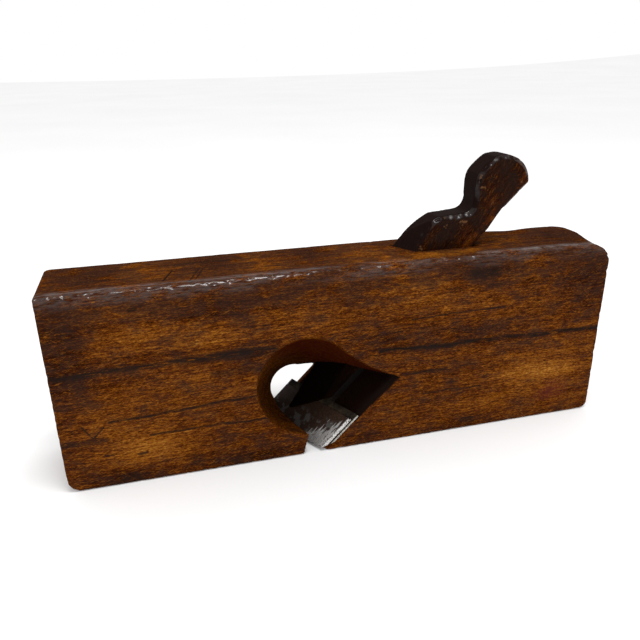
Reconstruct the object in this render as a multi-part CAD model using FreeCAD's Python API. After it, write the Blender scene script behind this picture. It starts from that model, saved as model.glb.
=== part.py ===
"""Wooden skew rabbet plane: a beech stock, a shouldered skew iron with a laid steel face, and a wedge.

Frame, in millimetres: +X runs along the sole from the toe to the heel, +Z is up, and the origin is on the
sole, at the middle of the stock's length and width. The near cheek is the one at -Y: the throat opens
widest there, and that is where the shavings fall out. The plane is pushed towards -X.

The bed is a flat ramp. It rises at BED_ANGLE towards the heel, and it is skewed in plan by SKEW_ANGLE, so
that the iron's far corner leads. Everything that touches the bed, the iron or the wedge is skewed with it.
"""

import FreeCAD, Part

import math
import os

from FreeCAD import Vector

# Stock
LENGTH = 241.3
HEIGHT = 83.5
WIDTH = 38.1
NEAR = -WIDTH / 2
FAR = WIDTH / 2

NEAR_TOP_ARRIS_ROUND = 2.8
FAR_TOP_ARRIS_ROUND = 2.2
SOLE_ARRIS_ROUND = 0.5
END_ARRIS_ROUND = 0.7
TOE_TOP_ROUND = 1.0
HEEL_TOP_ROUND = 3.5
TOE_SOLE_ROUND = 6.0
HEEL_SOLE_ROUND = 4.0

# Bed and mortise
BED_ANGLE = 45.0
SKEW_ANGLE = 28.5
BED_AT_SOLE = -12.1          # where the bed meets the sole, on the near cheek
WEDGE_ANGLE = 12.0
MORTISE_FRONT_AT_TOP = 32.9  # where the mortise's front wall meets the top, at its near side
MORTISE_NEAR = -5.2
MORTISE_FAR = 9.2
MORTISE_FOOT = 14.0

# Throat and mouth: each pair is a value on the near cheek and on the far cheek
THROAT_CENTRE_X = (-20.4, -18.5)
THROAT_CENTRE_Z = (33.8, 14.4)
THROAT_RADIUS = (21.8, 11.1)
THROAT_LOWER_RADIUS = (24.3, 11.1)
TAIL_STARTS_AT = (45.0, 78.0)        # degrees round the throat's front from +X
TAIL_MIDDLE_X = (5.0, -7.5)
TAIL_MIDDLE_Z = (40.5, 24.9)
TAIL_END_X = (29.8, 6.0)
TAIL_END_Z = (29.0, 24.0)
MOUTH_X_UNDER_SOLE = (-23.1, -40.1)
MOUTH_X_AT_STEP = (-20.5, -28.6)
MOUTH_Z_AT_STEP = (8.4, 9.2)
MOUTH_X_IN_THROAT = (-17.0, -24.0)
MOUTH_Z_IN_THROAT = (18.0, 16.0)
MOUTH_BACK_X_IN_THROAT = (14.0, -8.0)
MOUTH_BACK_X_UNDER_SOLE = (0.0, -20.0)

# Iron
IRON_THICKNESS = 2.9
STEEL_THICKNESS = 1.4
EDGE_HEIGHT = 1.5            # the cutting edge stands this far above the sole, drawn back out of the way
CLEARANCE_ANGLE = 17.0
NEAR_SHOULDER_HEIGHT = 14.7
FAR_SHOULDER_HEIGHT = 15.8
STEEL_BELOW_SHOULDER = 1.2
TANG_TOP = 78.0
TANG_CORNER = 3.0
TANG_ROOT_BELOW_SHOULDER = 4.0
CHEEK_INSET = 0.05
BED_GAP = 0.02

# Wedge
WEDGE_NEAR = -5.0
WEDGE_FAR = 9.0
WEDGE_GAP = 0.04
WEDGE_TIP_NEAR = 18.4
WEDGE_TIP_FAR = 7.2
FINIAL_CENTRE = (72.2, 109.3)
FINIAL_RADIUS = 13.0
FINIAL_ENDS_AT = 2.0         # degrees round the finial from +X, where its back begins
HEAD_CHAMFER = 1.8
BROW_START = (28.6, 86.2)
BROW_CREST = (35.0, 92.6)
BACK_NICK = (68.9, 94.3)     # where the finial's back meets the wedge's own
BACK_FOOT = (60.7, 82.6)
BROW_SLOPE = 4.0             # the wedge's shoulder, between its brow and the finial's neck, rises this much
BROW_LENGTH = 11.8
NECK_RADIUS = 5.0
NECK_HEIGHT = 103.3

BEYOND = 3.0                 # how far a cutting tool runs past the faces that it cuts
SAME = 1e-6                  # lengths closer than this are equal
BELOW_SOLE = -10.0
UNDER_SOLE = -2.0            # the mouth is cut from here

TAN_SKEW = math.tan(math.radians(SKEW_ANGLE))
COT_BED = 1 / math.tan(math.radians(BED_ANGLE))
COT_FRONT = 1 / math.tan(math.radians(BED_ANGLE + WEDGE_ANGLE))
# Distance along X that a layer of unit thickness on the bed takes up.
X_PER_THICKNESS = math.sqrt(1 + TAN_SKEW**2 + COT_BED**2)


def bed_x(y, z, above=0.0):
    """X of the bed at y and z, or of the plane that lies the distance above over it."""
    return BED_AT_SOLE - TAN_SKEW * (y - NEAR) + COT_BED * z - above * X_PER_THICKNESS


def mortise_front_x(y, z, inside=0.0):
    """X of the mortise's front wall at y and z, moved towards the bed by the distance inside."""
    return MORTISE_FRONT_AT_TOP - TAN_SKEW * (y - MORTISE_NEAR) + COT_FRONT * (z - HEIGHT) + inside


def face_xz(points, y):
    """Flat polygon at y, from (x, z) points."""
    corners = [Vector(x, y, z) for x, z in points]
    return Part.Face(Part.makePolygon(corners + corners[:1]))


def skewed_prism(points, y_near, y_far):
    """Prism between two Y planes whose section, given at y_near, slides towards the toe with the skew."""
    depth = y_far - y_near
    return face_xz(points, y_near).extrude(Vector(-TAN_SKEW * depth, depth, 0))


def over_bed(y_near, y_far, z_low, z_high, above=0.0):
    """Everything on the toe side of the bed, or of the plane that lies the distance above over it."""
    toe = -LENGTH
    section = [
        (toe, z_low),
        (bed_x(y_near, z_low, above), z_low),
        (bed_x(y_near, z_high, above), z_high),
        (toe, z_high),
    ]
    return skewed_prism(section, y_near, y_far)


def between(near_and_far, y):
    """Value at y of something that changes evenly from the near cheek to the far cheek."""
    near_value, far_value = near_and_far
    return near_value + (far_value - near_value) * (y - NEAR) / WIDTH


def throat_outline(y):
    """Outline of the tapered, tear-shaped throat at y: a round front that sags, a tail, and a foot past the bed."""
    cx = between(THROAT_CENTRE_X, y)
    cz = between(THROAT_CENTRE_Z, y)
    radius = between(THROAT_RADIUS, y)
    lower_radius = between(THROAT_LOWER_RADIUS, y)
    leave = between(TAIL_STARTS_AT, y)

    def on_arc(angle, arc_radius):
        a = math.radians(angle)
        across = arc_radius * (1 + math.cos(a)) - radius
        return Vector(cx + across, y, cz + arc_radius * math.sin(a))

    front = on_arc(180, radius)
    foot_angle = 180 + math.degrees(math.acos(1 - radius / lower_radius))
    foot = on_arc(foot_angle, lower_radius)
    tail_start = on_arc(leave, radius)
    tail_middle = Vector(between(TAIL_MIDDLE_X, y), y, between(TAIL_MIDDLE_Z, y))
    tail_end = Vector(between(TAIL_END_X, y), y, between(TAIL_END_Z, y))
    heel = Vector(tail_end.x, y, foot.z)
    return Part.Wire([
        Part.Arc(foot, on_arc((180 + foot_angle) / 2, lower_radius), front).toShape(),
        Part.Arc(front, on_arc((180 + leave) / 2, radius), tail_start).toShape(),
        Part.Arc(tail_start, tail_middle, tail_end).toShape(),
        Part.LineSegment(tail_end, heel).toShape(),
        Part.LineSegment(heel, foot).toShape(),
    ])


def mouth_outline(y):
    """Outline of the mouth at y: steep in front at the near cheek, along the iron at the far cheek."""
    inner_z = between(MOUTH_Z_IN_THROAT, y)
    corners = [
        Vector(between(MOUTH_X_UNDER_SOLE, y), y, UNDER_SOLE),
        Vector(between(MOUTH_X_AT_STEP, y), y, between(MOUTH_Z_AT_STEP, y)),
        Vector(between(MOUTH_X_IN_THROAT, y), y, inner_z),
        Vector(between(MOUTH_BACK_X_IN_THROAT, y), y, inner_z),
        Vector(between(MOUTH_BACK_X_UNDER_SOLE, y), y, UNDER_SOLE),
    ]
    return Part.makePolygon(corners + corners[:1])


def throat():
    """The shavings' way out: the mouth, and the tapered hole that it opens into, down to the bed."""
    near, far = NEAR - BEYOND, FAR + BEYOND
    hole = Part.makeLoft([throat_outline(near), throat_outline(far)], True, True)
    mouth = Part.makeLoft([mouth_outline(near), mouth_outline(far)], True, True)
    return hole.fuse(mouth).common(over_bed(near - 1, far + 1, -2 * BEYOND, HEIGHT))


def mortise():
    """The sloping slot for the wedge and the tang, from the throat out of the top."""
    y, top = MORTISE_NEAR, HEIGHT + BEYOND
    section = [
        (mortise_front_x(y, MORTISE_FOOT), MORTISE_FOOT),
        (mortise_front_x(y, top), top),
        (bed_x(y, top), top),
        (bed_x(y, MORTISE_FOOT), MORTISE_FOOT),
    ]
    return skewed_prism(section, MORTISE_NEAR, MORTISE_FAR)


def rounded_rectangle(origin, along, up, length, height, radii):
    """Face with its four corners rounded, from the corner at the origin round by way of the far end of along."""
    starts = [
        (origin, along, up, radii[0]),
        (origin + along * length, up, along * -1, radii[1]),
        (origin + along * length + up * height, along * -1, up * -1, radii[2]),
        (origin + up * height, up * -1, along, radii[3]),
    ]
    arcs = []
    for corner, onward, back, radius in starts:
        centre = corner + (onward + back) * radius
        middle = centre - (onward + back) * (radius * math.sqrt(0.5))
        arcs.append(Part.Arc(corner + back * radius, middle, corner + onward * radius))
    edges = []
    for arc, following in zip(arcs, arcs[1:] + arcs[:1]):
        edges += [arc.toShape(), Part.LineSegment(arc.EndPoint, following.StartPoint).toShape()]
    return Part.Face(Part.Wire(edges))


def rounded_block():
    """The stock before it is cut: what the rounded side view, end view and plan have in common."""
    x, y, z = Vector(1, 0, 0), Vector(0, 1, 0), Vector(0, 0, 1)
    origin = Vector(-LENGTH / 2, NEAR, 0)
    side_radii = [TOE_SOLE_ROUND, HEEL_SOLE_ROUND, HEEL_TOP_ROUND, TOE_TOP_ROUND]
    end_radii = [SOLE_ARRIS_ROUND, SOLE_ARRIS_ROUND, FAR_TOP_ARRIS_ROUND, NEAR_TOP_ARRIS_ROUND]
    side = rounded_rectangle(origin, x, z, LENGTH, HEIGHT, side_radii).extrude(y * WIDTH)
    end = rounded_rectangle(origin, y, z, WIDTH, HEIGHT, end_radii).extrude(x * LENGTH)
    plan = rounded_rectangle(origin, x, y, LENGTH, WIDTH, [END_ARRIS_ROUND] * 4).extrude(z * HEIGHT)
    return side.common(end).common(plan)


def make_stock():
    return rounded_block().cut(throat().fuse(mortise()))


def iron_plate(y_z_points, low, high):
    """Flat plate between two heights over the bed, outlined by (y, z) points on its lower face.

    Its thickness runs square to the bed in side view, so its edges lie flush in the cheeks.
    """
    corners = [Vector(bed_x(y, z, low), y, z) for y, z in y_z_points]
    plate = Part.Face(Part.makePolygon(corners + corners[:1]))
    slant = (high - low) * X_PER_THICKNESS / (1 + COT_BED**2)
    return plate.extrude(Vector(-slant, 0, slant * COT_BED))


def bevel_tool():
    """Everything under the ground bevel, which rises from the cutting edge at CLEARANCE_ANGLE."""
    y = NEAR - BEYOND
    edge_x = bed_x(y, EDGE_HEIGHT, BED_GAP + IRON_THICKNESS)
    slope = math.tan(math.radians(CLEARANCE_ANGLE))
    reach = WIDTH
    section = [
        (edge_x - reach, EDGE_HEIGHT - reach * slope),
        (edge_x + reach, EDGE_HEIGHT + reach * slope),
        (edge_x + reach, -reach),
        (edge_x - reach, -reach),
    ]
    return skewed_prism(section, y, FAR + BEYOND)


def blade_outline(low, drop):
    """Outline, as (y, z) points, of the full-width blade from low up to its shoulders, less the drop."""
    near, far = NEAR + CHEEK_INSET, FAR - CHEEK_INSET
    return [(near, low), (near, NEAR_SHOULDER_HEIGHT - drop), (far, FAR_SHOULDER_HEIGHT - drop), (far, low)]


def make_iron_body():
    """The wrought iron back: a tang as wide as the wedge, and a blade as wide as the stock."""
    root = NEAR_SHOULDER_HEIGHT - TANG_ROOT_BELOW_SHOULDER
    tang = [
        (WEDGE_NEAR, root),
        (WEDGE_NEAR, TANG_TOP - TANG_CORNER),
        (WEDGE_NEAR + TANG_CORNER, TANG_TOP),
        (WEDGE_FAR - TANG_CORNER, TANG_TOP),
        (WEDGE_FAR, TANG_TOP - TANG_CORNER),
        (WEDGE_FAR, root),
    ]
    top = BED_GAP + IRON_THICKNESS
    blade_plate = iron_plate(blade_outline(BELOW_SOLE, 0), BED_GAP, top)
    whole = blade_plate.fuse(iron_plate(tang, BED_GAP, top)).removeSplitter()
    room_for_steel = steel_plate(top + STEEL_THICKNESS)
    return whole.cut(bevel_tool()).cut(room_for_steel)


def steel_plate(top):
    """The laid steel before it is ground, up to the height top over the bed."""
    return iron_plate(
        blade_outline(BELOW_SOLE, STEEL_BELOW_SHOULDER), BED_GAP + IRON_THICKNESS - STEEL_THICKNESS, top
    )


def make_steel_facing():
    """The laid steel face that carries the cutting edge."""
    return steel_plate(BED_GAP + IRON_THICKNESS).cut(bevel_tool())


def wedge_profile():
    """Side view of the wedge, wider than the mortise below the top, where its faces are cut to the skew."""
    cx, cz = FINIAL_CENTRE
    spare = WEDGE_FAR - WEDGE_NEAR

    def at(x, z):
        return Vector(x, WEDGE_NEAR, z)

    def on_finial(angle):
        a = math.radians(angle)
        return at(cx + FINIAL_RADIUS * math.cos(a), cz + FINIAL_RADIUS * math.sin(a))

    def in_neck(angle):
        a = math.radians(angle)
        return at(cx - FINIAL_RADIUS - NECK_RADIUS * (1 - math.cos(a)), NECK_HEIGHT + NECK_RADIUS * math.sin(a))

    slope = math.radians(BROW_SLOPE)
    neck_start, neck_end = in_neck(BROW_SLOPE - 90), in_neck(0)
    brow_start = at(*BROW_START)
    brow_end = neck_start - Vector(math.cos(slope), 0, math.sin(slope)) * BROW_LENGTH
    finial_left, finial_right = on_finial(180), on_finial(FINIAL_ENDS_AT)
    finial_top = on_finial((180 + FINIAL_ENDS_AT) / 2)
    nick, back_foot = at(*BACK_NICK), at(*BACK_FOOT)
    # Below the top, the blank is the taper with wood to spare in front and behind.
    heel = at(bed_x(WEDGE_NEAR, 0) + 2 * spare, 0)
    toe = at(bed_x(WEDGE_NEAR, 0) - 1.5 * spare, 0)
    lines = [
        Part.LineSegment(toe, brow_start),
        Part.Arc(brow_start, at(*BROW_CREST), brow_end),
        Part.LineSegment(brow_end, neck_start),
        Part.Arc(neck_start, in_neck((BROW_SLOPE - 90) / 2), neck_end),
        Part.LineSegment(neck_end, finial_left),
        Part.Arc(finial_left, finial_top, finial_right),
        Part.LineSegment(finial_right, nick),
        Part.LineSegment(nick, back_foot),
        Part.LineSegment(back_foot, heel),
        Part.LineSegment(heel, toe),
    ]
    return Part.Wire([line.toShape() for line in lines])


def is_rim_of_head(edge):
    """Whether an edge of the wedge's blank runs along one of its two sides, above the stock."""
    ends = [v.Point for v in edge.Vertexes]
    same_side = abs(ends[0].y - ends[-1].y) < SAME
    return same_side and min(p.z for p in ends) > BROW_START[1] - SAME


def make_wedge():
    """The wedge: flat on the iron, flat in front, cut slantwise at its tip, and a finial to knock it by."""
    width = WEDGE_FAR - WEDGE_NEAR
    blank = Part.Face(wedge_profile()).extrude(Vector(0, width, 0))
    rim = [e for e in blank.Edges if is_rim_of_head(e)]
    blank = blank.makeChamfer(HEAD_CHAMFER, rim)

    y0, y1 = WEDGE_NEAR - BEYOND, WEDGE_FAR + BEYOND
    over_iron = BED_GAP + IRON_THICKNESS + BED_GAP
    high = 2 * HEIGHT
    section = [
        (mortise_front_x(y0, 0, WEDGE_GAP), 0),
        (mortise_front_x(y0, high, WEDGE_GAP), high),
        (bed_x(y0, high, over_iron), high),
        (bed_x(y0, 0, over_iron), 0),
    ]
    crossing = (section[0][0] - section[3][0]) / (COT_BED - COT_FRONT)
    foot = (mortise_front_x(y0, crossing, WEDGE_GAP), crossing)
    taper = skewed_prism([foot, section[1], section[2]], y0, y1)

    tip_slope = (WEDGE_TIP_FAR - WEDGE_TIP_NEAR) / width
    toe = -LENGTH / 2
    tip = [
        Vector(toe, y0, WEDGE_TIP_NEAR - BEYOND * tip_slope),
        Vector(toe, y1, WEDGE_TIP_FAR + BEYOND * tip_slope),
        Vector(toe, y1, -HEIGHT),
        Vector(toe, y0, -HEIGHT),
    ]
    below_tip = Part.Face(Part.makePolygon(tip + tip[:1])).extrude(Vector(LENGTH, 0, 0))
    return blank.common(taper).cut(below_tip)


def export(name, shape):
    shape = shape.removeSplitter()
    shape.exportStep(f"parts/{name}.step")
    box = shape.BoundBox
    print(
        f"{name}: {len(shape.Solids)} solid, valid {shape.isValid()}, {shape.Volume / 1000:.2f} cm3,"
        f" x {box.XMin:.2f} {box.XMax:.2f}, y {box.YMin:.2f} {box.YMax:.2f}, z {box.ZMin:.2f} {box.ZMax:.2f}"
    )


os.makedirs("parts", exist_ok=True)
export("stock", make_stock())
export("iron_body", make_iron_body())
export("steel_facing", make_steel_facing())
export("wedge", make_wedge())
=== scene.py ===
import itertools
import math

import bmesh
import bpy
import numpy as np
from mathutils import Matrix, Vector


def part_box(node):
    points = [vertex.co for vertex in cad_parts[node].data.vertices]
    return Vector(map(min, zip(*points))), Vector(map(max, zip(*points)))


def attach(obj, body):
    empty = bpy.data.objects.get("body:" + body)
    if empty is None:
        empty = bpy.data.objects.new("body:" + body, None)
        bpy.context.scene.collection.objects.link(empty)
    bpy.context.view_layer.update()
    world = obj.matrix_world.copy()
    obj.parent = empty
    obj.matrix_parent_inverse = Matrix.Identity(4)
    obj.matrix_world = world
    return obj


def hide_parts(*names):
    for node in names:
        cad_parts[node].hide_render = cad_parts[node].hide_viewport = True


# An old wooden rabbet plane. Lengths here are in millimetres and in the frame of the CAD part: +X from toe
# to heel, -Y towards the open side of the throat, +Z up from the sole. Blender's own lengths are metres.

MM = 0.001

# Camera, at the photograph's viewing angle
CAMERA_AT = (-76.16, -250.38, 160.51)
CAMERA_TURN = math.radians(-14.90)
CAMERA_DOWN = math.radians(22.21)
CAMERA_ROLL = math.radians(-0.90)
CAMERA_LENS = 35.79

# The bed, as on the part: where it meets the sole on the near cheek, and how it leans and slants
BED_AT_SOLE = -12.1
BED_SKEW = math.tan(math.radians(28.5))
# Its arris on the near cheek is worn between these heights, and this deep into the cheek
BED_ARRIS_FROM = 12.5
BED_ARRIS_TO = 32.1
BED_ARRIS_DEPTH = 1.5

# The wedge's finial, as on the part. A broad flat was cut over its front, and then the flats along its rims:
# degrees round it from +X, how far the flat leans towards the near side, and how far from the centre it lies
FINIAL_CENTRE = (72.2, 2.0, 109.3)
FINIAL_REACH = 15.5
FRONT_FLAT_AT = (63.1, 2.0, 117.2)
FRONT_FLAT_WAY = (-0.67, 0, 0.74)
FINIAL_FLATS = [
    (22, 42, 13.3),
    (52, 46, 13.2),
    (84, 40, 13.4),
    (112, 47, 13.0),
    (140, 38, 13.4),
    (168, 44, 13.2),
    (35, -44, 13.4),
    (75, -42, 13.4),
    (150, -40, 13.3),
]

# How finely each piece is cut before it is worn, and how many faces the stock keeps
STOCK_VOXEL = 0.45
WEDGE_VOXEL = 0.36
IRON_VOXEL = 0.30
STEEL_VOXEL = 0.24
STOCK_FACES = 195000
# Marks at least this wide are painted on the vertices
NARROW = 0.7
# A dent or a groove is followed out to this many times its radius, and no groove's is smaller than this
HOLLOW_REACH = 2.5
LEAST_GROOVE = 0.45

# Rounding of the block's edges: the least radius, what full wear adds, and what is added besides: high up on
# an upright edge, and towards the near cheek on the heel's top
ROUNDING = {
    "toe near": (0.5, 0.5, 0.0),
    "toe far": (1.0, 1.0, 2.5),
    "heel near": (0.5, 0.7, 0.0),
    "heel far": (1.2, 1.0, 9.5),
    "top toe": (0.8, 0.8, 0.0),
    "top heel": (2.2, 0.8, 0.0),
    "top near": (2.9, 1.0, 0.0),
    "top far": (2.2, 0.8, 0.0),
    "sole toe": (8.4, 1.0, 0.0),
    "sole heel": (3.6, 1.0, 0.0),
    "sole sides": (0.4, 0.6, 0.0),
    "heel top": (2.6, 1.5, 7.4),
}

# Colours are linear red, green and blue. Tones run from dark to light: (place on the scale, colour)
WOOD_TONES = [
    (0.35, (0.0110, 0.0024, 0.0008)),
    (0.45, (0.0360, 0.0074, 0.0012)),
    (0.53, (0.0860, 0.0205, 0.0020)),
    (0.63, (0.2150, 0.0690, 0.0060)),
    (0.76, (0.4300, 0.1950, 0.0330)),
]
RAY_FLECK = (0.300, 0.103, 0.0100)
GRIME = (0.0240, 0.0098, 0.0062)
# Painted shade inside the throat and the mortise, and under the throat's roof
THROAT_SHADE = (0.0120, 0.0050, 0.0012)
THROAT_ROOF_SHADE = (0.0260, 0.0026, 0.0011)
# Painted shade of the bed beside the iron
BED_SHADE = (0.0040, 0.0024, 0.0018)
# Painted shade of the bed arris, worn back into the throat
WORN_ARRIS_SHADE = (0.0080, 0.0048, 0.0038)
CRACK = (0.0120, 0.0065, 0.0050)
RED_STAIN = (0.095, 0.012, 0.009)
WEDGE_GRIME = (0.0150, 0.0070, 0.0048)
# Painted shade on the wedge's brow and finial front
FRONT_SHADE = (0.0070, 0.0030, 0.0024)
BARE_WOOD = (0.2400, 0.1100, 0.0450)
# Painted shade on the wedge below its head
WEDGE_SHADE = (0.0026, 0.0015, 0.0010)
STEEL_TONES = [(0.3, (0.0100, 0.0050, 0.0030)), (0.7, (0.0420, 0.0200, 0.0110))]
DULL_STEEL = (0.0800, 0.0780, 0.0740)
BRIGHT_STEEL = (0.72, 0.71, 0.69)
RUST_TONES = [
    (0.36, (0.0080, 0.0060, 0.0045)),
    (0.52, (0.0220, 0.0160, 0.0100)),
    (0.68, (0.0600, 0.0420, 0.0250)),
]
# Painted shade on the iron higher up, in the throat
IRON_SHADE = (0.0050, 0.0036, 0.0028)
BRIGHT_IRON = (0.60, 0.58, 0.52)
FLOOR_TONES = [(0.3, (0.91, 0.91, 0.91)), (0.7, (0.94, 0.94, 0.94))]

# Where the looks of the wood and the metal fade in, from the first number to the second, in millimetres
TOP_GRIME_Z = (60, 80)
THROAT_ROOF_X_PLUS_Z = (4, 26)
BLACK_OVER_BED = (1.056, 0.396)
NEAR_ARRIS_Z = (77, 81.5)
NEAR_ARRIS_Y = (-12.0, -17.5)
DULL_TOP_Z = (81.5, 83)
CLEAN_WEDGE_OVER_BED = (10, 3)
WEDGE_CORNERS_FROM_MIDDLE = (5.4, 6.4)
WEDGE_SHADE_Z = (84, 76)
BRIGHT_STEEL_FROM_CORNER = (12.5, 8.5)
DULL_STEEL_Z = (12, 9)
STEEL_EDGE_Y = (-18.4, -18.9)
IRON_SHADE_Z = (15, 19)
IRON_EDGE_Y = (-18.2, -18.8)
IRON_EDGE_Z = (17, 14)
IRON_EDGE_OVER_BED = (1.1, 0.7)

# The red stain on the near cheek, and how quickly it fades along each axis
RED_STAIN_AT = (99, -19, 12)
RED_STAIN_FADE = (0.09, 0.09, 0.11)

# Lean of the wedge's grain and of the grinding streaks, in degrees from +X
WEDGE_GRAIN = 50
STEEL_STREAKS = 45

# The floor, in metres: half its width, how far from the middle it starts to curl up, how fast, and its gap
# under the sole
FLOOR_HALF = 6
FLOOR_FLAT = 5
FLOOR_CURL = 0.02
FLOOR_GAP = 0.0002

# The lamp, in metres and watts
LAMP_AT = (0.05, -0.25, 1.1)
LAMP_AIM = (-0.04, 0, 0.08)
LAMP_SIZE = (0.36, 0.22)
LAMP_WATTS = 5.0

# Sockets of Blender's Mix node when it mixes colours
MIX_A, MIX_B, MIX_RESULT = 6, 7, 2

# Streaks, cracks and scratches on the near cheek: (x, z) of both ends, half width, depth, darkness
NEAR_MARKS = [
    ((-119, 50.9), (-66, 52.3), 0.9, 0.25, 0.95),
    ((-72, 52.2), (-34, 52.2), 1.5, 0.20, 0.95),
    ((12, 45.2), (46, 44.0), 0.9, 0.25, 1.00),
    ((42, 44.2), (120, 42.8), 0.8, 0.30, 1.00),
    ((-101, 29.7), (-74, 30.6), 0.50, 0.50, 1.00),
    ((-76, 30.3), (-53, 32.0), 0.55, 0.40, 0.90),
    ((-56, 31.9), (-42, 32.0), 0.48, 0.45, 1.00),
    ((-86, 21.2), (-57, 21.1), 0.45, 0.30, 0.85),
    ((-60, 21.3), (-38, 20.5), 0.48, 0.45, 1.00),
    ((-120, 21.3), (-103, 21.9), 0.9, 0.15, 0.65),
    ((-59, 44.5), (-40, 44.3), 1.1, 0.10, 0.60),
    ((23, 32.6), (43, 32.1), 0.7, 0.20, 0.70),
    ((33, 21.4), (61, 20.9), 0.45, 0.25, 0.65),
    ((26, 58.3), (70, 58.7), 0.34, 0.20, 0.75),
    ((18, 56.0), (62, 55.6), 0.24, 0.15, 0.40),
    ((-111.5, 29.0), (-108, 23.3), 0.32, 0.25, 1.00),
    ((-108, 23.3), (-103.6, 27.9), 0.28, 0.20, 1.00),
    ((-104.5, 15.0), (-101.5, 14.7), 0.40, 0.40, 0.85),
    ((-91.5, 13.1), (-88.5, 13.5), 0.55, 0.40, 0.85),
    ((-88.0, 75.4), (-86.0, 75.6), 0.60, 0.70, 1.00),
    ((-80.8, 73.2), (-79.2, 73.4), 0.40, 0.40, 0.80),
    ((-51.6, 24.3), (-50.4, 20.1), 0.22, 0.20, 0.80),
    ((-116, 81.0), (-84, 80.2), 0.20, 0.10, 0.35),
    ((54, 75.4), (64, 75.0), 1.9, 0.15, 0.75),
    ((43, 69.9), (47, 69.8), 0.7, 0.20, 0.60),
    ((53, 4.2), (57, 4.4), 1.2, 0.20, 0.60),
    ((-69.5, 5.8), (-68.5, 5.8), 2.2, 0.20, 0.55),
    ((-97.0, 2.6), (-94.5, 2.4), 2.0, 0.20, 0.55),
]
# The same on the top: (x, y) of both ends
TOP_MARKS = [
    ((-65, -16), (-56, 12), 0.34, 0.22, 1.00),
    ((-62.5, -14), (-57, 3), 0.26, 0.18, 0.85),
    ((-74.5, -12), (-70.5, 0), 0.34, 0.22, 1.00),
    ((-96, 7.0), (-30, 9.0), 0.9, 0.05, 0.35),
    ((74, -6.0), (104, -9.0), 0.5, 0.08, 0.35),
    ((-112, -4.0), (-60, -7.0), 0.6, 0.05, 0.30),
]
# Lighter and darker areas of the near cheek: (x, z), reach along x and z, how much lighter
NEAR_PATCHES = [
    ((-88, 15), (17, 7), 1.25),
    ((-103, 29), (14, 7), 0.6),
    ((-72, 30), (22, 8), 0.35),
    ((-57, 60), (12, 6), 0.6),
    ((-84, 66), (18, 6), 0.5),
    ((-66, 46), (12, 4), 0.45),
    ((-18, 64), (12, 8), 0.35),
    ((29, 70), (16, 8), 0.5),
    ((62, 62), (26, 6), 0.3),
    ((85, 24), (17, 10), 0.95),
    ((57, 11), (20, 5), 0.6),
    ((104, 25), (12, 10), 0.5),
    ((15, 12), (14, 5), 0.35),
    ((-114, 60), (9, 22), -0.8),
    ((-56, 73), (12, 6), -0.6),
    ((-45, 51), (9, 5), -0.6),
    ((11, 50), (14, 6), -0.55),
    ((53, 47), (22, 6), -0.5),
    ((57, 77), (12, 5), -0.7),
    ((-96, 3), (14, 4), -0.9),
    ((-45, 3), (24, 4), -1.0),
    ((112, 66), (12, 16), -0.6),
    ((54, 4), (12, 4), -0.5),
    ((6, 5), (9, 7), -0.5),
]
# The same on the top: (x, y)
TOP_PATCHES = [
    ((-102, 0), (12, 10), -0.6),
    ((-84, 2), (9, 12), 0.5),
    ((-52, 6), (9, 14), -0.6),
    ((-36, 4), (8, 14), 0.5),
    ((-12, 8), (8, 12), -0.6),
    ((9, 2), (12, 12), 0.5),
    ((42, -12), (22, 5), 0.9),
    ((80, 4), (9, 9), 0.5),
    ((106, 0), (14, 16), -0.7),
    ((-60, -13), (40, 4), 0.3),
]


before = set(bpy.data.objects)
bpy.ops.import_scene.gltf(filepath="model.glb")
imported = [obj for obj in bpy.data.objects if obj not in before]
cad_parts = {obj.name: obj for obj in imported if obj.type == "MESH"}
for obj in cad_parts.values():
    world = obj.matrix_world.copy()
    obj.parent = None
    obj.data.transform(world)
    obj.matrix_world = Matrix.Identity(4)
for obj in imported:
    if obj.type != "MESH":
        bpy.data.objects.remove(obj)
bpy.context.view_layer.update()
low, high = (np.array(corner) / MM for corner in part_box("stock"))


# ---------------------------------------------------------------------------------------------- noise


def noise(points, size, seed, stretch=(1, 1, 1)):
    """Smooth random numbers from -1 to 1, in lumps about size across that are stretched along the axes."""
    scaled = points / (np.array(stretch) * size)
    cell = np.floor(scaled).astype(np.int64)
    part = scaled - cell
    part = part * part * (3 - 2 * part)
    total = np.zeros(len(points))
    for corner in itertools.product((0, 1), repeat=3):
        x, y, z = (cell + corner).T
        # The cell's place and the seed are mixed into 32 random bits, of which 24 are used
        h = (x * 73856093) ^ (y * 19349663) ^ (z * 83492791) ^ (seed * 2654435761)
        h = ((h & 0xFFFFFFFF) * 1274126177) & 0xFFFFFFFF
        h = ((h ^ (h >> 15)) * 668265263) & 0xFFFFFFFF
        value = ((h ^ (h >> 13)) & 0xFFFFFF) / 0x7FFFFF - 1
        total += value * np.prod(np.where(corner, part, 1 - part), axis=1)
    return total


def smoothstep(start, end, value):
    """0 before the start, 1 past the end, and smooth between. The end may lie below the start."""
    t = np.clip((value - start) / (end - start), 0, 1)
    return t * t * (3 - 2 * t)


# ----------------------------------------------------------------------------------------------- mesh


def fine_copy(node, name, voxel):
    """A copy of a CAD node, remade on an even grid that is fine enough to wear away."""
    piece = bpy.data.objects.new(name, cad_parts[node].data.copy())
    bpy.context.scene.collection.objects.link(piece)
    grid = piece.modifiers.new("grid", "REMESH")
    grid.mode = "VOXEL"
    grid.voxel_size = voxel * MM
    smooth = piece.modifiers.new("smooth", "SMOOTH")
    smooth.factor = 0.5
    smooth.iterations = 2
    settle(piece)
    return piece


def settle(piece):
    """Applies the piece's modifiers."""
    depsgraph = bpy.context.evaluated_depsgraph_get()
    mesh = bpy.data.meshes.new_from_object(piece.evaluated_get(depsgraph))
    piece.modifiers.clear()
    piece.data = mesh


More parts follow.
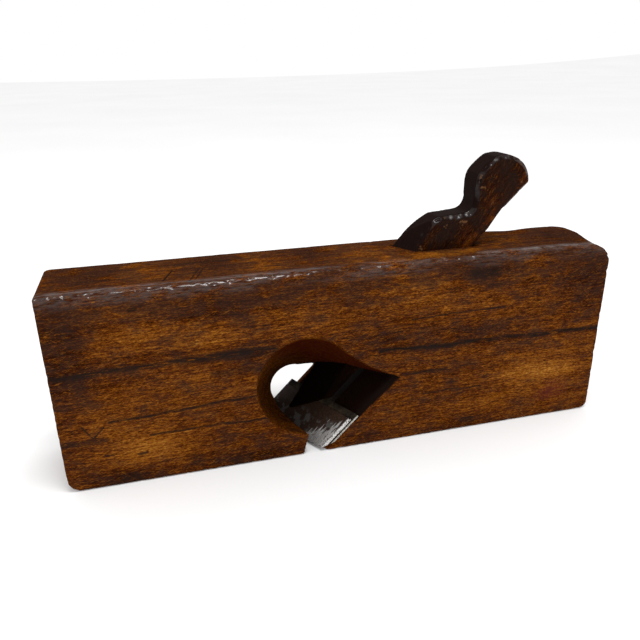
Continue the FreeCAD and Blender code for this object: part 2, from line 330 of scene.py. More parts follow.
def drop_crumbs(piece):
    """Deletes every loose island of the piece but the largest."""
    mesh = bmesh.new()
    mesh.from_mesh(piece.data)
    unseen = set(mesh.verts)
    islands = []
    while unseen:
        island = [unseen.pop()]
        for vertex in island:
            found = {edge.other_vert(vertex) for edge in vertex.link_edges} & unseen
            unseen -= found
            island.extend(found)
        islands.append(island)
    islands.sort(key=len)
    crumbs = [vertex for island in islands[:-1] for vertex in island]
    bmesh.ops.delete(mesh, geom=crumbs, context="VERTS")
    mesh.to_mesh(piece.data)
    mesh.free()


def get_points(mesh):
    flat = np.empty(len(mesh.vertices) * 3, np.float32)
    mesh.vertices.foreach_get("co", flat)
    return flat.reshape(-1, 3).astype(float) / MM


def get_normals(mesh):
    flat = np.empty(len(mesh.vertices) * 3, np.float32)
    mesh.vertex_normals.foreach_get("vector", flat)
    return flat.reshape(-1, 3).astype(float)


def set_points(mesh, points):
    mesh.vertices.foreach_set("co", (points * MM).astype(np.float32).ravel())
    mesh.update()


def thin_out(piece, faces):
    """Drops faces where the surface is plain, down to this many triangles."""
    piece.data.calc_loop_triangles()
    share = faces / len(piece.data.loop_triangles)
    if share < 1:
        decimate = piece.modifiers.new("decimate", "DECIMATE")
        decimate.ratio = share
        settle(piece)


def wander(points, seed):
    """Wear that comes and goes along an edge, from 0 to 1."""
    slow = noise(points, 38, seed) * 0.6 + noise(points, 11, seed + 1) * 0.3
    return np.clip(0.45 + slow + 0.15 * noise(points, 3.5, seed + 2), 0, 1)


def plan_depth(points, corner_radii):
    """How deep points lie inside the block's rounded plan, and the way out. Corners: toe, then heel."""
    half = (high - low)[:2] / 2
    from_middle = points[:, :2] - ((low + high) / 2)[:2]
    (toe_near, toe_far), (heel_near, heel_far) = corner_radii
    at_heel, at_far = from_middle[:, 0] > 0, from_middle[:, 1] > 0
    at_the_heel, at_the_toe = np.where(at_far, heel_far, heel_near), np.where(at_far, toe_far, toe_near)
    radius = np.where(at_heel, at_the_heel, at_the_toe)
    over = np.abs(from_middle) - half + radius[:, None]
    round_part = np.clip(over, 0, None)
    length = np.linalg.norm(round_part, axis=1)
    depth = radius - length - np.minimum(over.max(axis=1), 0)
    flat_way = np.stack([over[:, 0] > over[:, 1], over[:, 0] <= over[:, 1]], axis=1)
    way = np.where((length > 0)[:, None], round_part / np.maximum(length, 1e-9)[:, None], flat_way)
    return depth, way * np.sign(from_middle)


def rounding(edge, worn, extra=0.0):
    """Radius of one of the block's edges. Both the wear and the extra run from 0 to 1."""
    least, by_wear, besides = ROUNDING[edge]
    return least + besides * extra + by_wear * worn


def wear_block(points):
    """Rounds the block's upright edges, and then the rims of its top and sole, more in some places."""
    _, y, z = points.T.copy()
    high_up = smoothstep(40, 83, z)
    worn = wander(points, 10)
    toe_radii = [rounding("toe near", worn), rounding("toe far", worn, high_up)]
    heel_radii = [rounding("heel near", worn), rounding("heel far", worn, high_up)]
    radii = [toe_radii, heel_radii]
    depth, way = plan_depth(points, radii)
    points[:, :2] += way * np.minimum(depth, 0)[:, None]

    depth, way = plan_depth(points, radii)
    at_heel, at_far = way[:, 0] > 0, way[:, 1] > 0
    top_ends = np.where(at_heel, rounding("top heel", worn), rounding("top toe", worn))
    top_sides = np.where(at_far, rounding("top far", worn), rounding("top near", worn))
    sole_ends = np.where(at_heel, rounding("sole heel", worn), rounding("sole toe", worn))
    sole_sides = rounding("sole sides", wander(points, 30))
    wear_rim(points, depth, way, high[2], -1, top_ends, top_sides)
    wear_rim(points, depth, way, low[2], 1, sole_ends, sole_sides)
    wear_heel_top(points, rounding("heel top", worn, smoothstep(10, -16, y)))


def wear_rim(points, depth, way, at, inward, at_ends, at_sides):
    """Rounds the rim where the block's upright faces meet its top or its sole."""
    radius = at_ends * way[:, 0] ** 2 + at_sides * way[:, 1] ** 2
    a, b = depth - radius, (points[:, 2] - at) * inward - radius
    length = np.hypot(a, b)
    out = (a < 0) & (b < 0) & (length > radius)
    pull = radius[out] / length[out]
    points[out, :2] += way[out] * (a[out] * (1 - pull))[:, None]
    points[out, 2] = at + inward * (radius[out] + b[out] * pull)


def wear_heel_top(points, radius):
    """Rounds the heel's top edge in side view."""
    from_centre = points[:, [0, 2]] - high[[0, 2]] + radius[:, None]
    length = np.linalg.norm(from_centre, axis=1)
    out = (from_centre > 0).all(axis=1) & (length > radius)
    points[np.ix_(out, [0, 2])] -= from_centre[out] * (1 - radius[out] / length[out])[:, None]


def pare(points, through, outward, where):
    """Whittles away what lies beyond a plane, at the points where it is allowed."""
    outward = np.array(outward) / np.linalg.norm(outward)
    beyond = np.clip((points - np.array(through)) @ outward, 0, None) * where
    points -= beyond[:, None] * outward


def dent(points, normals, at, radius, depth):
    """Presses a round hollow into the surface at a point."""
    away = np.linalg.norm(points - np.array(at), axis=1)
    near = away < radius * HOLLOW_REACH
    points[near] -= normals[near] * (depth * np.exp(-((away[near] / radius) ** 2)))[:, None]


def away_from_line(points, start, end):
    """How far the points lie from the straight line between two points."""
    a, b = np.array(start, float), np.array(end, float)
    along = np.clip(((points - a) @ (b - a)) / ((b - a) @ (b - a)), 0, 1)
    return np.linalg.norm(points - a - along[:, None] * (b - a), axis=1)


def groove(points, normals, start, end, half_width, depth, face):
    """Cuts a groove between two points, into the surface that faces the way of the vector face."""
    away = away_from_line(points, start, end)
    wide = max(half_width, LEAST_GROOVE)
    hit = (away < wide * HOLLOW_REACH) & (normals @ np.array(face) > 0.6)
    points[hit] -= normals[hit] * (depth * np.exp(-((away[hit] / wide) ** 2)))[:, None]


def scatter_dents(points, normals, chances, seed, count, sizes, depths):
    """Presses round hollows in at random vertices, chosen in proportion to their chances."""
    rng = np.random.default_rng(seed)
    for i in rng.choice(len(points), count, p=chances / chances.sum()):
        dent(points, normals, points[i].copy(), rng.uniform(*sizes), rng.uniform(*depths))


def edge_closeness(points, reach):
    """From 0 on a face of the block to 1 on its edge: how near a point is to two of the block's planes."""
    gaps = np.sort(np.minimum(np.abs(points - low), np.abs(high - points)), axis=1)
    return np.clip(1 - gaps[:, 1] / reach, 0, 1)


# ---------------------------------------------------------------------------------------------- pieces


def bed_arris_wear(points):
    """How far the bed's arris on the near cheek is worn back: 0 where it is whole, 1 on the bed."""
    x, _, z = points.T
    past_bed = x - BED_AT_SOLE - z
    # The wear reaches further back high up
    reach = 0.5 + 2.0 * smoothstep(14, 31, z)
    worn = np.clip(1 - past_bed / reach, 0, 1) * (past_bed > -3)
    return worn * (z > BED_ARRIS_FROM) * smoothstep(BED_ARRIS_TO, BED_ARRIS_TO - 0.4, z + 0.35 * past_bed)


def near_lines():
    """The marks of the near cheek as lines in space: (start, end, half width, depth, darkness)."""
    return [((a[0], low[1], a[1]), (b[0], low[1], b[1]), *rest) for a, b, *rest in NEAR_MARKS]


def top_lines():
    """The same for the marks of the top."""
    return [((*a, high[2]), (*b, high[2]), *rest) for a, b, *rest in TOP_MARKS]


def make_stock():
    """The block: hollowed a little everywhere, rounded along its edges, dented, cracked and scratched."""
    piece = fine_copy("stock", "worn_stock", STOCK_VOXEL)
    mesh = piece.data
    points = get_points(mesh)
    normals = get_normals(mesh)

    hollow = 0.02 + 0.05 * noise(points, 45, 1) + 0.04 * noise(points, 9, 2)
    hollow += 0.03 * noise(points, 1.1, 3, (14, 1, 1))
    points -= normals * np.clip(hollow, 0, None)[:, None]
    # The far side of the top is rubbed down near the heel
    far_top = smoothstep(0, 17, points[:, 1]) * smoothstep(74, 82, points[:, 2])
    points[:, 2] -= 0.7 * far_top * np.exp(-(((points[:, 0] - 90) / 9) ** 2))
    # The top sinks a little towards the heel
    points[:, 2] -= 0.35 * smoothstep(92, 112, points[:, 0]) * smoothstep(60, 83, points[:, 2])
    points[:, 1] = np.maximum(points[:, 1], low[1] + BED_ARRIS_DEPTH * bed_arris_wear(points))

    wear_block(points)
    set_points(mesh, points)
    normals = get_normals(mesh)
    close = edge_closeness(points, 4.0)
    outer = np.min(np.minimum(np.abs(points - low), np.abs(high - points)), axis=1) < 2.5
    edges = close**2 + 1e-6
    scatter_dents(points, normals, edges, seed=5, count=300, sizes=(0.3, 1.1), depths=(0.06, 0.24))
    scatter_dents(points, normals, outer + 1e-6, seed=6, count=170, sizes=(0.4, 1.4), depths=(0.06, 0.22))
    near_arris = close * (points[:, 1] < low[1] + 4) * (points[:, 2] > high[2] - 4) + 1e-9
    scatter_dents(points, normals, near_arris, seed=71, count=150, sizes=(0.4, 1.1), depths=(0.10, 0.28))
    heel_edge = close * (points[:, 0] > high[0] - 4) + 1e-9
    scatter_dents(points, normals, heel_edge, seed=7, count=34, sizes=(0.6, 1.3), depths=(0.15, 0.42))
    for start, end, half_width, depth, _ in near_lines():
        groove(points, normals, start, end, half_width, depth, (0, -1, 0))
    for start, end, half_width, depth, _ in top_lines():
        groove(points, normals, start, end, half_width, depth, (0, 0, 1))

    set_points(mesh, points)
    thin_out(piece, STOCK_FACES)
    set_points(piece.data, np.clip(get_points(piece.data), low, high))
    paint_stock(piece)
    return piece


def make_wedge():
    """The wedge, with its finial whittled round and its rim knocked."""
    piece = fine_copy("wedge", "worn_wedge", WEDGE_VOXEL)
    drop_crumbs(piece)
    mesh = piece.data
    points = get_points(mesh)
    normals = get_normals(mesh)
    wedge_low, wedge_high = (np.array(corner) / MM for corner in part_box("wedge"))
    # The head is the part that stands out of the mortise
    head = smoothstep(84, 88, points[:, 2])
    hollow = 0.03 + 0.03 * noise(points, 7, 101)
    hollow += head * (0.10 * noise(points, 12, 102) + 0.07 * noise(points, 3, 103))
    points -= normals * np.clip(hollow, 0, None)[:, None]
    # The finial was whittled round with a knife, in flats
    x, _, z = FINIAL_CENTRE
    on_finial = np.hypot(points[:, 0] - x, points[:, 2] - z) < FINIAL_REACH
    pare(points, FRONT_FLAT_AT, FRONT_FLAT_WAY, on_finial)
    for degrees, lean, kept in FINIAL_FLATS:
        turn, lean = math.radians(degrees), math.radians(lean)
        out, side = math.cos(lean), -math.sin(lean)
        way = np.array((out * math.cos(turn), side, out * math.sin(turn)))
        pare(points, np.array(FINIAL_CENTRE) + kept * way, way, on_finial)
    rim = np.minimum(points[:, 1] - wedge_low[1], wedge_high[1] - points[:, 1]) < 1.6
    front = (normals[:, 0] < -0.2) | (normals[:, 2] > 0.5)
    corners = head * rim * (0.35 + front) + 1e-9
    scatter_dents(points, normals, corners, seed=8, count=90, sizes=(0.4, 1.2), depths=(0.12, 0.42))
    scatter_dents(points, normals, head + 1e-9, seed=9, count=60, sizes=(0.4, 1.3), depths=(0.06, 0.20))
    set_points(mesh, np.clip(points, wedge_low, wedge_high))
    # Painted shade: the faces turned towards -X and up, on the brow and the finial's front, are marked
    normals = get_normals(mesh)
    keep_on_vertices(piece, "front", smoothstep(0.05, 0.6, normals @ np.array((-0.8, 0, 0.6))))
    # Hands have polished what stands out: the flats between the sides and the rim
    lean = np.abs(normals[:, 1])
    flats = smoothstep(0.45, 0.60, lean) * smoothstep(0.97, 0.85, lean) * smoothstep(88, 91, points[:, 2])
    keep_on_vertices(piece, "flats", flats * smoothstep(-0.4, 0.3, noise(points, 2.6, 104)))
    return piece


def make_iron(node, name, voxel, seed):
    """A forged piece: nearly flat, a little lumpy, and pitted by rust."""
    piece = fine_copy(node, name, voxel)
    mesh = piece.data
    points = get_points(mesh)
    normals = get_normals(mesh)
    hollow = 0.03 + 0.025 * noise(points, 6, seed) + 0.015 * noise(points, 1.3, seed + 1)
    pits = smoothstep(0.45, 0.9, noise(points, 1.1, seed + 2))
    pits *= smoothstep(0.0, 0.6, noise(points, 6, seed + 3))
    points -= normals * (hollow + 0.10 * pits)[:, None]
    set_points(mesh, points)
    return piece


# ------------------------------------------------------------------------------------------- materials


class Nodes:
    """Short ways to add and join the nodes of one tree."""

    def __init__(self, tree):
        self.tree = tree

    def set(self, socket, value):
        """Gives a socket a value, or joins it to an output."""
        if isinstance(value, bpy.types.NodeSocket):
            self.tree.links.new(value, socket)
        else:
            socket.default_value = value

    def math(self, operation, a, b=0.0, clamp=False):
        node = self.tree.nodes.new("ShaderNodeMath")
        node.operation = operation
        node.use_clamp = clamp
        self.set(node.inputs[0], a)
        self.set(node.inputs[1], b)
        return node.outputs[0]

    def plus(self, a, b):
        return self.math("ADD", a, b)

    def minus(self, a, b):
        return self.math("SUBTRACT", a, b)

    def times(self, a, b):
        return self.math("MULTIPLY", a, b)

    def vector(self, operation, a, b=(0, 0, 0)):
        node = self.tree.nodes.new("ShaderNodeVectorMath")
        node.operation = operation
        self.set(node.inputs[0], a)
        if operation == "SCALE":
            self.set(node.inputs["Scale"], b)
        else:
            self.set(node.inputs[1], b)
        one_number = operation in ("DOT_PRODUCT", "LENGTH", "DISTANCE")
        return node.outputs["Value" if one_number else "Vector"]

    def position(self):
        """Millimetres in the frame of the part at rest, which move with the piece."""
        coordinates = self.tree.nodes.new("ShaderNodeTexCoord").outputs["Object"]
        return self.vector("SCALE", coordinates, 1 / MM)

    def split(self, vector):
        """The vector's x, y and z."""
        node = self.tree.nodes.new("ShaderNodeSeparateXYZ")
        self.set(node.inputs[0], vector)
        return node.outputs

    def turned(self, vector, degrees):
        """The vector turned about Y."""
        node = self.tree.nodes.new("ShaderNodeVectorRotate")
        node.rotation_type = "Y_AXIS"
        node.inputs["Angle"].default_value = math.radians(degrees)
        self.set(node.inputs["Vector"], vector)
        return node.outputs["Vector"]

    def on_vertices(self, name):
        """The value that the piece keeps on its vertices under this name."""
        node = self.tree.nodes.new("ShaderNodeAttribute")
        node.attribute_name = name
        return node.outputs["Fac"]

    def noise(self, vector, stretch, detail=3.0, roughness=0.55, distortion=0.0, colour=False):
        """Noise with lumps about as long as stretch, in millimetres along each axis."""
        scaled = self.vector("MULTIPLY", vector, tuple(1 / s for s in stretch))
        node = self.tree.nodes.new("ShaderNodeTexNoise")
        self.set(node.inputs["Vector"], scaled)
        node.inputs["Scale"].default_value = 1.0
        node.inputs["Detail"].default_value = detail
        node.inputs["Roughness"].default_value = roughness
        node.inputs["Distortion"].default_value = distortion
        return node.outputs["Color" if colour else "Fac"]

    def step(self, value, start, end):
        """0 before the start, 1 past the end, and smooth between. The end may lie below the start."""
        node = self.tree.nodes.new("ShaderNodeMapRange")
        node.interpolation_type = "SMOOTHSTEP"
        self.set(node.inputs["Value"], value)
        node.inputs["From Min"].default_value = start
        node.inputs["From Max"].default_value = end
        return node.outputs["Result"]

    def ramp(self, value, stops):
        """Colour from (place, colour) stops."""
        node = self.tree.nodes.new("ShaderNodeValToRGB")
        elements = node.color_ramp.elements
        while len(elements) < len(stops):
            elements.new(0.5)
        for element, (place, colour) in zip(elements, stops):
            element.position = place
            element.color = (*colour, 1)
        self.set(node.inputs[0], value)
        return node.outputs["Color"]

    def mix(self, share, under, over):
        """The colour of an output, covered by the other colour as far as the share says."""
        node = self.tree.nodes.new("ShaderNodeMix")
        node.data_type = "RGBA"
        self.set(node.inputs["Factor"], share)
        self.set(node.inputs[MIX_A], under)
        self.set(node.inputs[MIX_B], (*over, 1))
        return node.outputs[MIX_RESULT]

    def bump(self, height, distance):
        """Normal of a surface raised by height times distance, which is in millimetres."""
        node = self.tree.nodes.new("ShaderNodeBump")
        node.inputs["Distance"].default_value = distance * MM
        self.set(node.inputs["Height"], height)
        return node.outputs["Normal"]


class Material(Nodes):
    """The nodes of a new material, which end in its one shader."""

    def __init__(self, name):
        self.material = bpy.data.materials.new(name)
        self.material.use_nodes = True
        super().__init__(self.material.node_tree)
        self.shader = self.tree.nodes["Principled BSDF"]

    def surface(self, name, value):
        """Gives the shader one of its values, or joins it to an output."""
        self.set(self.shader.inputs[name], value)


def stroke_group():
    """Node group: how far a point is inside a stroke with soft sides, 0 outside and 1 on its line."""
    group = bpy.data.node_groups.new("stroke", "ShaderNodeTree")
    sockets = [("Point", "Vector"), ("Start", "Vector"), ("End", "Vector"), ("Half width", "Float")]
    for name, kind in sockets:
        group.interface.new_socket(name, in_out="INPUT", socket_type=f"NodeSocket{kind}")
    group.interface.new_socket("Inside", in_out="OUTPUT", socket_type="NodeSocketFloat")
    graph = Nodes(group)
    given = group.nodes.new("NodeGroupInput").outputs
    line = graph.vector("SUBTRACT", given["End"], given["Start"])
    offset = graph.vector("SUBTRACT", given["Point"], given["Start"])
    along = graph.vector("DOT_PRODUCT", offset, line)
    share = graph.math("DIVIDE", along, graph.vector("DOT_PRODUCT", line, line), clamp=True)
    away = graph.vector("DISTANCE", offset, graph.vector("SCALE", line, share))
    inside = graph.step(graph.math("DIVIDE", away, given["Half width"]), 1.8, 0.5)
    graph.set(group.nodes.new("NodeGroupOutput").inputs["Inside"], inside)
    return group


def strokes(graph, point, lines):
    """The darkest of the strokes at the point. A line is (start, end, half width, darkness)."""
    group = stroke_group()
    darkest = None
    for start, end, half_width, darkness in lines:
        node = graph.tree.nodes.new("ShaderNodeGroup")
        node.node_tree = group
        graph.set(node.inputs["Point"], point)
        node.inputs["Start"].default_value = start
        node.inputs["End"].default_value = end
        node.inputs["Half width"].default_value = half_width
        inside = graph.times(node.outputs["Inside"], darkness)
        darkest = inside if darkest is None else graph.math("MAXIMUM", darkest, inside)
    return darkest


def stock_marks():
    """The marks of both faces: (start, end, half width, darkness)."""
    return [(start, end, width, dark) for start, end, width, _, dark in near_lines() + top_lines()]


def keep_on_vertices(piece, name, values):
    """Stores a number on each vertex, for the piece's material."""
    attribute = piece.data.attributes.new(name, "FLOAT", "POINT")
    attribute.data.foreach_set("value", values.astype(np.float32))


def patches(across, patch_list):
    """How much lighter the soft patches make each point, given its two coordinates across the face."""
    total = np.zeros(len(across))
    for centre, reach, lighter in patch_list:
        total += lighter * np.exp(-(((across - centre) / reach) ** 2).sum(axis=1))
    return total


def paint_stock(piece):
    """Stores on each vertex what changes slowly: dark streaks, lighter patches, painted shade inside."""
    points = get_points(piece.data)
    wavered = points.copy()
    wavered[:, 2] += 0.5 * noise(points, 9, 300)
    darkest = np.zeros(len(points))
    for start, end, half_width, darkness in stock_marks():
        if half_width >= NARROW:
            widths_away = away_from_line(wavered, start, end) / half_width
            darkest = np.maximum(darkest, darkness * smoothstep(2.2, 0.3, widths_away))
    keep_on_vertices(piece, "streaks", darkest)

    on_near = smoothstep(low[1] + 3, low[1] + 1, points[:, 1])
    on_top = smoothstep(high[2] - 3, high[2] - 1, points[:, 2])
    lighter = on_near * patches(points[:, [0, 2]], NEAR_PATCHES)
    lighter += (1 - on_near) * on_top * patches(points[:, :2], TOP_PATCHES)
    lighter += 0.35 * (1 - on_near) * (1 - on_top) * noise(points, 30, 310)
    keep_on_vertices(piece, "lighter", lighter)

    # Painted shade: the inside of the throat and the mortise, and the worn bed arris, are marked to be
    # darkened
    depth = np.min(np.minimum(points - low, high - points), axis=1)
    inside = smoothstep(0.9, 2.2, depth) * (edge_closeness(points, 9) < 0.5)
    worn_arris = smoothstep(0.02, 0.25, bed_arris_wear(points)) * (points[:, 1] < low[1] + 3)
    keep_on_vertices(piece, "inside", np.maximum(inside, worn_arris))
    keep_on_vertices(piece, "worn arris", worn_arris)


def wood_colour(graph, point, lighter, flecks=1.0):
    """Old oiled beech, grain along X: (colour, relief). The wood is brighter where lighter is more."""
    sway = graph.noise(point, (60, 26, 26), detail=1.0, colour=True)
    swayed = graph.vector("ADD", point, graph.vector("MULTIPLY", sway, (0, 3, 3)))
    rings = graph.noise(swayed, (130, 2.4, 2.4), detail=2.0)
    fibres = graph.noise(swayed, (5.5, 0.58, 0.58), detail=3.0, roughness=0.70)
    speckle = graph.noise(point, (1.2, 0.46, 0.46), detail=2.0, roughness=0.7, distortion=0.6)
    tone = graph.plus(graph.times(rings, 0.18), graph.times(fibres, 0.36))
    tone = graph.plus(tone, graph.times(speckle, 0.46))
    tone = graph.plus(tone, graph.times(lighter, 0.115))
    colour = graph.ramp(tone, WOOD_TONES)
    # Short flecks of ray cells catch the light, most of them leaning the same way
    for angle, size, share in ((24, (2.6, 0.8, 0.42), 0.50), (-38, (2.2, 0.8, 0.30), 0.36)):
        rays = graph.noise(graph.turned(point, angle), size, detail=1.0, distortion=0.8)
        rays = graph.times(graph.step(rays, 0.56, 0.70), graph.step(fibres, 0.38, 0.56))
        colour = graph.mix(graph.times(rays, share * flecks), colour, RAY_FLECK)
    return colour, graph.plus(fibres, graph.times(speckle, 0.7))


def over_the_bed(graph, x, y, z):
    """Height over the bed of a point, in millimetres."""
    from_near_cheek = graph.plus(y, -low[1])
    lean = graph.minus(graph.plus(z, BED_AT_SOLE), graph.times(from_near_cheek, BED_SKEW))
    return graph.math("DIVIDE", graph.minus(lean, x), math.sqrt(2 + BED_SKEW**2))


def stock_material():
    graph = Material("oiled_beech")
    point = graph.position()
    x, y, z = graph.split(point)
    lighter = graph.on_vertices("lighter")
    colour, relief = wood_colour(graph, point, lighter)

    # Grime: in clouds, thickest along the top and where the wood is darkest
    clouds = graph.noise(point, (13, 9, 6), detail=4.0, roughness=0.68)
    high_up = graph.times(graph.step(z, *TOP_GRIME_Z), 0.13)
    grime = graph.minus(graph.plus(clouds, high_up), graph.times(lighter, 0.10))
    grime = graph.step(grime, 0.47, 0.68)
    colour = graph.mix(graph.times(grime, 0.62), colour, GRIME)

    # Painted shade: the inside of the throat and the mortise is darkened, and made a dark red under its
    # upper wall
    inside = graph.on_vertices("inside")
    colour = graph.mix(graph.times(inside, 0.35), colour, THROAT_SHADE)
    shaded = graph.times(inside, graph.step(graph.plus(x, z), *THROAT_ROOF_X_PLUS_Z))
    colour = graph.mix(graph.times(shaded, 0.80), colour, THROAT_ROOF_SHADE)
    # Painted shade: the bed, where it lies in the iron's shade, is darkened nearly to black
    by_the_bed = graph.step(over_the_bed(graph, x, y, z), *BLACK_OVER_BED)
    shade_on_bed = graph.times(inside, by_the_bed)
    colour = graph.mix(graph.times(shade_on_bed, 0.92), colour, BED_SHADE)
    # Painted shade: the bed arris on the near cheek, worn back into the throat, is darkened
    colour = graph.mix(graph.times(graph.on_vertices("worn arris"), 0.80), colour, WORN_ARRIS_SHADE)

    # Streaks and cracks waver a little along the grain
    waver = graph.noise(point, (9, 30, 30), detail=2.0, colour=True)
    wavered = graph.vector("ADD", point, graph.vector("MULTIPLY", waver, (0, 0, 1.6)))
    wavered = graph.vector("ADD", wavered, (0, 0, -0.8))
    marks = strokes(graph, wavered, [line for line in stock_marks() if line[2] < NARROW])
    patchy = graph.noise(point, (5, 0.8, 0.8), detail=3.0)
    wide_marks = graph.times(graph.on_vertices("streaks"), graph.step(patchy, 0.25, 0.50))
    dark_marks = graph.math("MAXIMUM", wide_marks, graph.times(marks, graph.step(patchy, 0.25, 0.45)))
    colour = graph.mix(dark_marks, colour, CRACK)

    # A red stain low on the near cheek, towards the heel
    stain = graph.vector("SUBTRACT", point, RED_STAIN_AT)
    stain = graph.vector("MULTIPLY", stain, RED_STAIN_FADE)
    stain = graph.step(graph.vector("LENGTH", stain), 1.1, 0.2)
    stain = graph.times(stain, graph.step(clouds, 0.35, 0.6))
    colour = graph.mix(graph.times(stain, 0.5), colour, RED_STAIN)
    graph.surface("Base Color", colour)

    rough = graph.plus(graph.times(clouds, 0.35), 0.30)
    graph.surface("Roughness", rough)
    graph.surface("Specular IOR Level", 0.0)
    # The polish of many hands is strongest on the near top arris, and there is none inside
    arris = graph.times(graph.step(z, *NEAR_ARRIS_Z), graph.step(y, *NEAR_ARRIS_Y))
    stretches = graph.noise(point, (30, 8, 8))
    rubbed = graph.times(graph.step(stretches, 0.30, 0.55), graph.step(patchy, 0.34, 0.56))
    handled = graph.times(arris, rubbed)
    all_over = graph.minus(0.07, graph.times(graph.step(z, *DULL_TOP_Z), 0.055))
    polish = graph.times(graph.plus(handled, all_over), graph.step(clouds, 0.25, 0.60))
    polish = graph.times(polish, graph.minus(1.0, inside))
    graph.surface("Coat Weight", polish)
    graph.surface("Coat Roughness", 0.19)

    ripples = graph.times(graph.noise(point, (1.3, 0.9, 0.9), detail=2.0), arris)
    height = graph.plus(relief, graph.times(ripples, 2.2))
    height = graph.minus(height, graph.times(dark_marks, 1.2))
    graph.surface("Normal", graph.bump(height, 0.16))
    return graph.material


def wedge_material():
    graph = Material("handled_beech")
    point = graph.position()
    x, y, z = graph.split(point)
    clouds = graph.noise(point, (10, 6, 9), detail=4.0, roughness=0.65)
    # It is cleanest along its back, which lies on the iron
    lighter = graph.minus(graph.times(clouds, 3.0), 2.9)
    by_its_back = graph.step(over_the_bed(graph, x, y, z), *CLEAN_WEDGE_OVER_BED)
    lighter = graph.plus(lighter, by_its_back)
    # The grain runs up the wedge's slope, so the point is turned before the grain is laid on it
    colour, relief = wood_colour(graph, graph.turned(point, WEDGE_GRAIN), lighter, flecks=0.4)
    grime = graph.step(clouds, 0.56, 0.42)
    colour = graph.mix(graph.times(grime, 0.70), colour, WEDGE_GRIME)
    # Painted shade on the faces turned towards -X and up: the brow and the finial's front
    front = graph.times(graph.on_vertices("front"), 0.88)
    colour = graph.mix(front, colour, FRONT_SHADE)
    # Bare wood shows where the corners of the head are knocked
    from_middle = graph.math("ABSOLUTE", graph.minus(y, FINIAL_CENTRE[1]))
    spots = graph.step(graph.noise(point, (3, 3, 3)), 0.64, 0.72)
    knocked = graph.times(graph.step(from_middle, *WEDGE_CORNERS_FROM_MIDDLE), spots)
    colour = graph.mix(graph.times(knocked, 0.40), colour, BARE_WOOD)
    # Painted shade: below the head, in the throat and the mortise, it is darkened nearly to black
    shaded = graph.step(z, *WEDGE_SHADE_Z)
    colour = graph.mix(graph.times(shaded, 0.93), colour, WEDGE_SHADE)
    graph.surface("Base Color", colour)
    rough = graph.plus(graph.times(clouds, 0.4), 0.30)
    graph.surface("Roughness", rough)
    graph.surface("Specular IOR Level", 0.0)
    polish = graph.plus(graph.times(graph.on_vertices("flats"), 0.42), 0.05)
    polish = graph.times(polish, graph.minus(1.0, shaded))
    graph.surface("Coat Weight", polish)
    graph.surface("Coat Roughness", 0.22)
    height = graph.plus(relief, graph.times(clouds, 1.2))
    graph.surface("Normal", graph.bump(height, 0.14))
    return graph.material


def steel_material():
    graph = Material("laid_steel")
    point = graph.position()
    _, y, z = graph.split(point)
    # Along the blade's slope the grinding has left streaks
    streaks = graph.noise(graph.turned(point, STEEL_STREAKS), (7.0, 0.9, 0.9), detail=3.0, roughness=0.6)
    fine = graph.noise(point, (0.6, 0.5, 0.9), detail=3.0)
    blotches = graph.noise(point, (4, 4, 4), detail=3.0)
    # The bright part is low and towards the near cheek
    from_corner = graph.plus(z, graph.times(graph.plus(y, 19), 0.75))
    reach = graph.minus(from_corner, graph.times(graph.minus(streaks, 0.5), 22.0))
    bright = graph.step(reach, *BRIGHT_STEEL_FROM_CORNER)
    bright = graph.times(bright, graph.step(graph.plus(streaks, fine), 0.78, 1.10))
    dull = graph.times(graph.step(blotches, 0.50, 0.60), graph.step(z, *DULL_STEEL_Z))
    colour = graph.ramp(fine, STEEL_TONES)
    colour = graph.mix(graph.times(dull, 0.7), colour, DULL_STEEL)
    edge = graph.times(graph.step(y, *STEEL_EDGE_Y), graph.step(fine, 0.38, 0.55))
    bright = graph.math("MAXIMUM", bright, edge)
    graph.surface("Base Color", graph.mix(bright, colour, BRIGHT_STEEL))
    graph.surface("Metallic", graph.times(bright, 0.9))
    rough = graph.minus(0.62, graph.times(bright, 0.26))
    graph.surface("Roughness", rough)
    graph.surface("Specular IOR Level", 0.15)
    graph.surface("Normal", graph.bump(graph.plus(streaks, fine), 0.12))
    return graph.material


def iron_material():
    graph = Material("rusty_wrought_iron")
    point = graph.position()
    x, y, z = graph.split(point)
    patches_of_rust = graph.noise(point, (5, 4, 5), detail=4.0, roughness=0.6)
    fine = graph.noise(point, (0.6, 0.5, 0.6), detail=3.0)
    rust = graph.plus(graph.times(patches_of_rust, 0.7), graph.times(fine, 0.3))
    rust = graph.ramp(rust, RUST_TONES)
    # Painted shade: above 15 to 19 mm up, in the throat and the mortise, the iron is darkened nearly to
    # black
    rust = graph.mix(graph.step(z, *IRON_SHADE_Z), rust, IRON_SHADE)
    # Scraped bright where the near edge has rubbed, along the corner by the bed
    edge = graph.times(graph.step(y, *IRON_EDGE_Y), graph.step(z, *IRON_EDGE_Z))
    by_the_bed = graph.step(over_the_bed(graph, x, y, z), *IRON_EDGE_OVER_BED)
    bright = graph.times(graph.times(edge, by_the_bed), graph.step(fine, 0.36, 0.55))
    graph.surface("Base Color", graph.mix(bright, rust, BRIGHT_IRON))
    graph.surface("Metallic", graph.times(bright, 0.9))
    rough = graph.minus(0.66, graph.times(bright, 0.26))
    graph.surface("Roughness", rough)
    graph.surface("Specular IOR Level", 0.04)
    graph.surface("Normal", graph.bump(graph.plus(patches_of_rust, fine), 0.14))
    return graph.material


def floor_material():
    graph = Material("pale_floor")
    point = graph.position()
    soft = graph.noise(point, (400, 400, 400), detail=2.0)
    graph.surface("Base Color", graph.ramp(soft, FLOOR_TONES))
    graph.surface("Roughness", 0.9)
    graph.surface("Specular IOR Level", 0.0)
    return graph.material


# ------------------------------------------------------------------------------------------- the scene


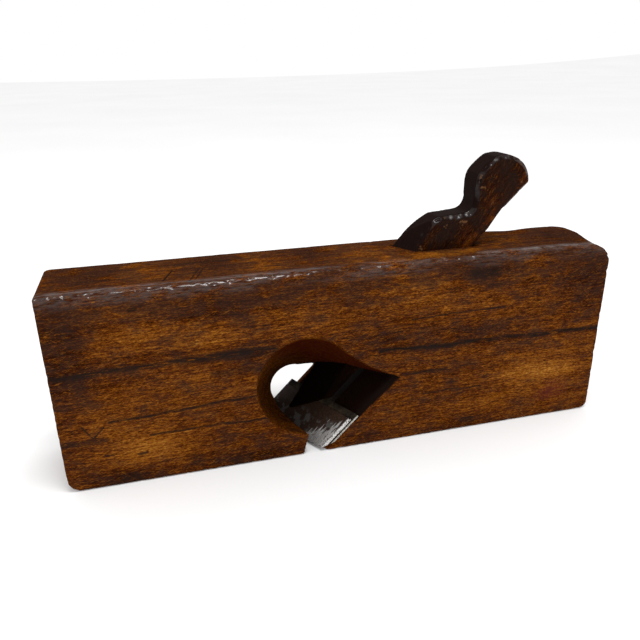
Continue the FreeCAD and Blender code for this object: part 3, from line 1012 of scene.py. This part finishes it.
def make_floor():
    """A pale sheet, curled up a little at its edges like paper."""
    sheet = bmesh.new()
    bmesh.ops.create_grid(sheet, x_segments=24, y_segments=24, size=FLOOR_HALF)
    for vertex in sheet.verts:
        vertex.co.z = FLOOR_CURL * max(vertex.co.to_2d().length - FLOOR_FLAT, 0) ** 2
    mesh = bpy.data.meshes.new("floor")
    sheet.to_mesh(mesh)
    sheet.free()
    for face in mesh.polygons:
        face.use_smooth = True
    floor = bpy.data.objects.new("floor", mesh)
    bpy.context.scene.collection.objects.link(floor)
    floor.location.z = -FLOOR_GAP
    mesh.materials.append(floor_material())


def add_lights():
    """White light from all round, and one soft lamp overhead on the near side."""
    world = bpy.data.worlds.new("studio")
    bpy.context.scene.world = world
    world.use_nodes = True
    sky = world.node_tree.nodes["Background"]
    sky.inputs["Color"].default_value = (1.0, 1.0, 1.0, 1)
    sky.inputs["Strength"].default_value = 1.0
    light = bpy.data.lights.new("overhead", "AREA")
    light.shape = "RECTANGLE"
    light.size, light.size_y = LAMP_SIZE
    light.energy = LAMP_WATTS
    lamp = bpy.data.objects.new("overhead", light)
    bpy.context.scene.collection.objects.link(lamp)
    lamp.location = LAMP_AT
    lamp.rotation_euler = (Vector(LAMP_AIM) - Vector(LAMP_AT)).to_track_quat("-Z", "Y").to_euler()


def add_camera():
    data = bpy.data.cameras.new("camera")
    data.lens = CAMERA_LENS
    data.clip_end = 50
    camera = bpy.data.objects.new("camera", data)
    bpy.context.scene.collection.objects.link(camera)
    turn = Matrix.Rotation(CAMERA_TURN, 4, "Z") @ Matrix.Rotation(math.pi / 2 - CAMERA_DOWN, 4, "X")
    turn = turn @ Matrix.Rotation(CAMERA_ROLL, 4, "Z")
    camera.matrix_world = Matrix.Translation(Vector(CAMERA_AT) * MM) @ turn
    bpy.context.scene.camera = camera


def place(piece, body, node, slot, material):
    """Puts a worn piece in the place of its CAD node."""
    piece.data.materials.clear()
    piece.data.materials.append(material)
    for face in piece.data.polygons:
        face.use_smooth = True
    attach(piece, body)
    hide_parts(node)


place(make_stock(), "stock", "stock", "stock_wood", stock_material())
place(make_wedge(), "wedge", "wedge", "wedge_wood", wedge_material())
iron = make_iron("iron_body", "forged_iron", IRON_VOXEL, seed=201)
place(iron, "iron", "iron_body", "wrought_iron", iron_material())
steel = make_iron("steel_facing", "ground_steel", STEEL_VOXEL, seed=211)
place(steel, "iron", "steel_facing", "laid_steel", steel_material())
make_floor()
add_lights()
add_camera()
bpy.context.scene.view_settings.view_transform = "Standard"
